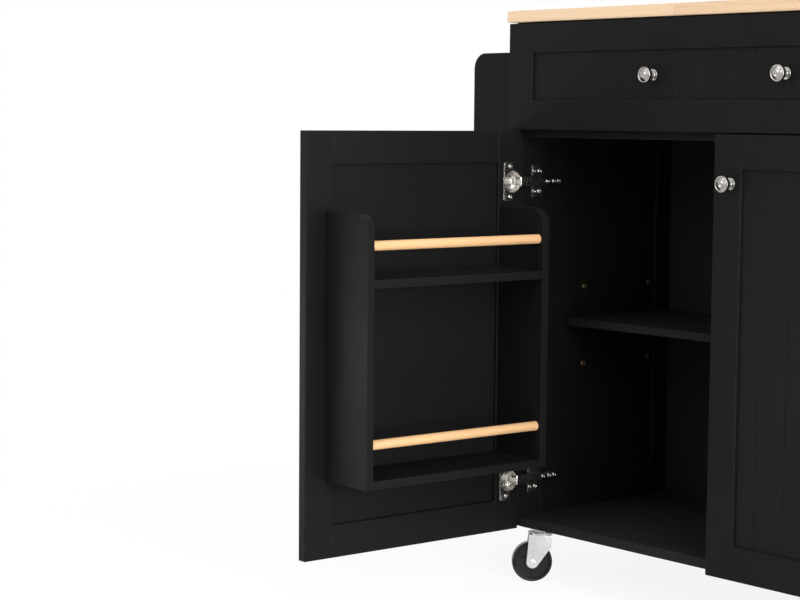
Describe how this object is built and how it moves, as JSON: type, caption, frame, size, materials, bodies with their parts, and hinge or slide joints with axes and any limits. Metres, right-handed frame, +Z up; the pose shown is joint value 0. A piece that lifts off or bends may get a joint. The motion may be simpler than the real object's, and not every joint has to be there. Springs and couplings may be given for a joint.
{
  "type": "rolling kitchen island",
  "caption": "Kitchen island on swivel casters: framed cabinet with a full-width drawer, hinged doors, an adjustable shelf, spice racks on a door and a side, and a wood worktop.",
  "frame": {"origin": "on the floor, under the centre of the box round the island as it stands with its left door open and its right door and drawer shut", "axes": "+X along the front from left to right, +Y from the front to the back, +Z up"},
  "size_m": [0.954, 0.795, 0.914],
  "materials": {
    "black_paint": "satin lacquer on wood and board",
    "board_paint": "satin paint on thin board",
    "worktop_wood": "clear satin oil",
    "rail_wood": "clear satin oil",
    "knob_nickel": "brushed nickel",
    "hinge_nickel": "bright nickel plate",
    "zinc_steel": "zinc plate",
    "sleeve_brass": "plated",
    "wheel_plastic": "moulded, satin"
  },
  "bodies": {
    "cabinet": {"adjustable_shelf": "black_paint", "back_panel": "board_paint", "caster_plates": "zinc_steel", "caster_screws": "hinge_nickel", "drawer_divider": "black_paint", "drawer_runners": "zinc_steel", "floor_panel": "black_paint", "hinge_arms": "hinge_nickel", "hinge_plates": "hinge_nickel", "hinge_screws": "hinge_nickel", "left_side_frame": "black_paint", "left_side_panel": "black_paint", "pin_sleeves": "sleeve_brass", "right_side_frame": "black_paint", "right_side_panel": "black_paint", "shelf_pins": "hinge_nickel", "side_rack_back_board": "black_paint", "side_rack_front_board": "black_paint", "side_rack_lower_shelf": "black_paint", "side_rack_rails": "rail_wood", "side_rack_upper_shelf": "black_paint", "top_rails": "black_paint", "worktop": "worktop_wood"},
    "back_left_swivel": {"back_left_caster_axle": "zinc_steel", "back_left_caster_fork": "zinc_steel"},
    "back_left_wheel": {"back_left_caster_wheel": "wheel_plastic"},
    "back_right_swivel": {"back_right_caster_axle": "zinc_steel", "back_right_caster_fork": "zinc_steel"},
    "back_right_wheel": {"back_right_caster_wheel": "wheel_plastic"},
    "left_door": {"door_rack_free_board": "black_paint", "door_rack_hinge_board": "black_paint", "door_rack_lower_shelf": "black_paint", "door_rack_rails": "rail_wood", "door_rack_upper_shelf": "black_paint", "left_cup_screws": "hinge_nickel", "left_door_frame": "black_paint", "left_door_knob": "knob_nickel", "left_door_panel": "black_paint", "left_hinge_cups": "hinge_nickel", "left_hinge_pins": "hinge_nickel"},
    "drawer": {"drawer_back": "black_paint", "drawer_bottom": "board_paint", "drawer_front_frame": "black_paint", "drawer_front_panel": "black_paint", "drawer_knobs": "knob_nickel", "drawer_left_side": "black_paint", "drawer_right_side": "black_paint", "drawer_slides": "zinc_steel"},
    "front_left_swivel": {"front_left_caster_axle": "zinc_steel", "front_left_caster_fork": "zinc_steel"},
    "front_left_wheel": {"front_left_caster_wheel": "wheel_plastic"},
    "front_right_swivel": {"front_right_caster_axle": "zinc_steel", "front_right_caster_fork": "zinc_steel"},
    "front_right_wheel": {"front_right_caster_wheel": "wheel_plastic"},
    "right_door": {"right_cup_screws": "hinge_nickel", "right_door_frame": "black_paint", "right_door_knob": "knob_nickel", "right_door_panel": "black_paint", "right_hinge_cups": "hinge_nickel", "right_hinge_pins": "hinge_nickel"}
  },
  "joints": [
    {"name": "left_door_hinge", "type": "hinge", "parent": "cabinet", "child": "left_door", "pos_m": [-0.3655, 0.0155, 0.4065], "axis": [0, 0, 1], "range_deg": [-5, 92.5]},
    {"name": "right_door_hinge", "type": "hinge", "parent": "cabinet", "child": "right_door", "pos_m": [0.4635, 0.0155, 0.4065], "axis": [0, 0, 1], "range_deg": [0, 97.5]},
    {"name": "drawer_slide", "type": "slide", "parent": "cabinet", "child": "drawer", "axis": [0, -1, 0], "range_m": [0, 0.27]},
    {"name": "front_left_caster_swivel", "type": "hinge", "parent": "cabinet", "child": "front_left_swivel", "pos_m": [-0.3345, 0.057, 0.08], "axis": [0, 0, 1], "continuous": true},
    {"name": "front_left_wheel_spin", "type": "hinge", "parent": "front_left_swivel", "child": "front_left_wheel", "pos_m": [-0.34457, 0.04521, 0.0325], "axis": [0.7604, -0.6494, 0], "continuous": true},
    {"name": "front_right_caster_swivel", "type": "hinge", "parent": "cabinet", "child": "front_right_swivel", "pos_m": [0.4325, 0.057, 0.08], "axis": [0, 0, 1], "continuous": true},
    {"name": "front_right_wheel_spin", "type": "hinge", "parent": "front_right_swivel", "child": "front_right_wheel", "pos_m": [0.42243, 0.04521, 0.0325], "axis": [0.7604, -0.6494, 0], "continuous": true},
    {"name": "back_left_caster_swivel", "type": "hinge", "parent": "cabinet", "child": "back_left_swivel", "pos_m": [-0.3345, 0.366, 0.08], "axis": [0, 0, 1], "continuous": true},
    {"name": "back_left_wheel_spin", "type": "hinge", "parent": "back_left_swivel", "child": "back_left_wheel", "pos_m": [-0.34457, 0.35421, 0.0325], "axis": [0.7604, -0.6494, 0], "continuous": true},
    {"name": "back_right_caster_swivel", "type": "hinge", "parent": "cabinet", "child": "back_right_swivel", "pos_m": [0.4325, 0.366, 0.08], "axis": [0, 0, 1], "continuous": true},
    {"name": "back_right_wheel_spin", "type": "hinge", "parent": "back_right_swivel", "child": "back_right_wheel", "pos_m": [0.42243, 0.35421, 0.0325], "axis": [0.7604, -0.6494, 0], "continuous": true}
  ]
}
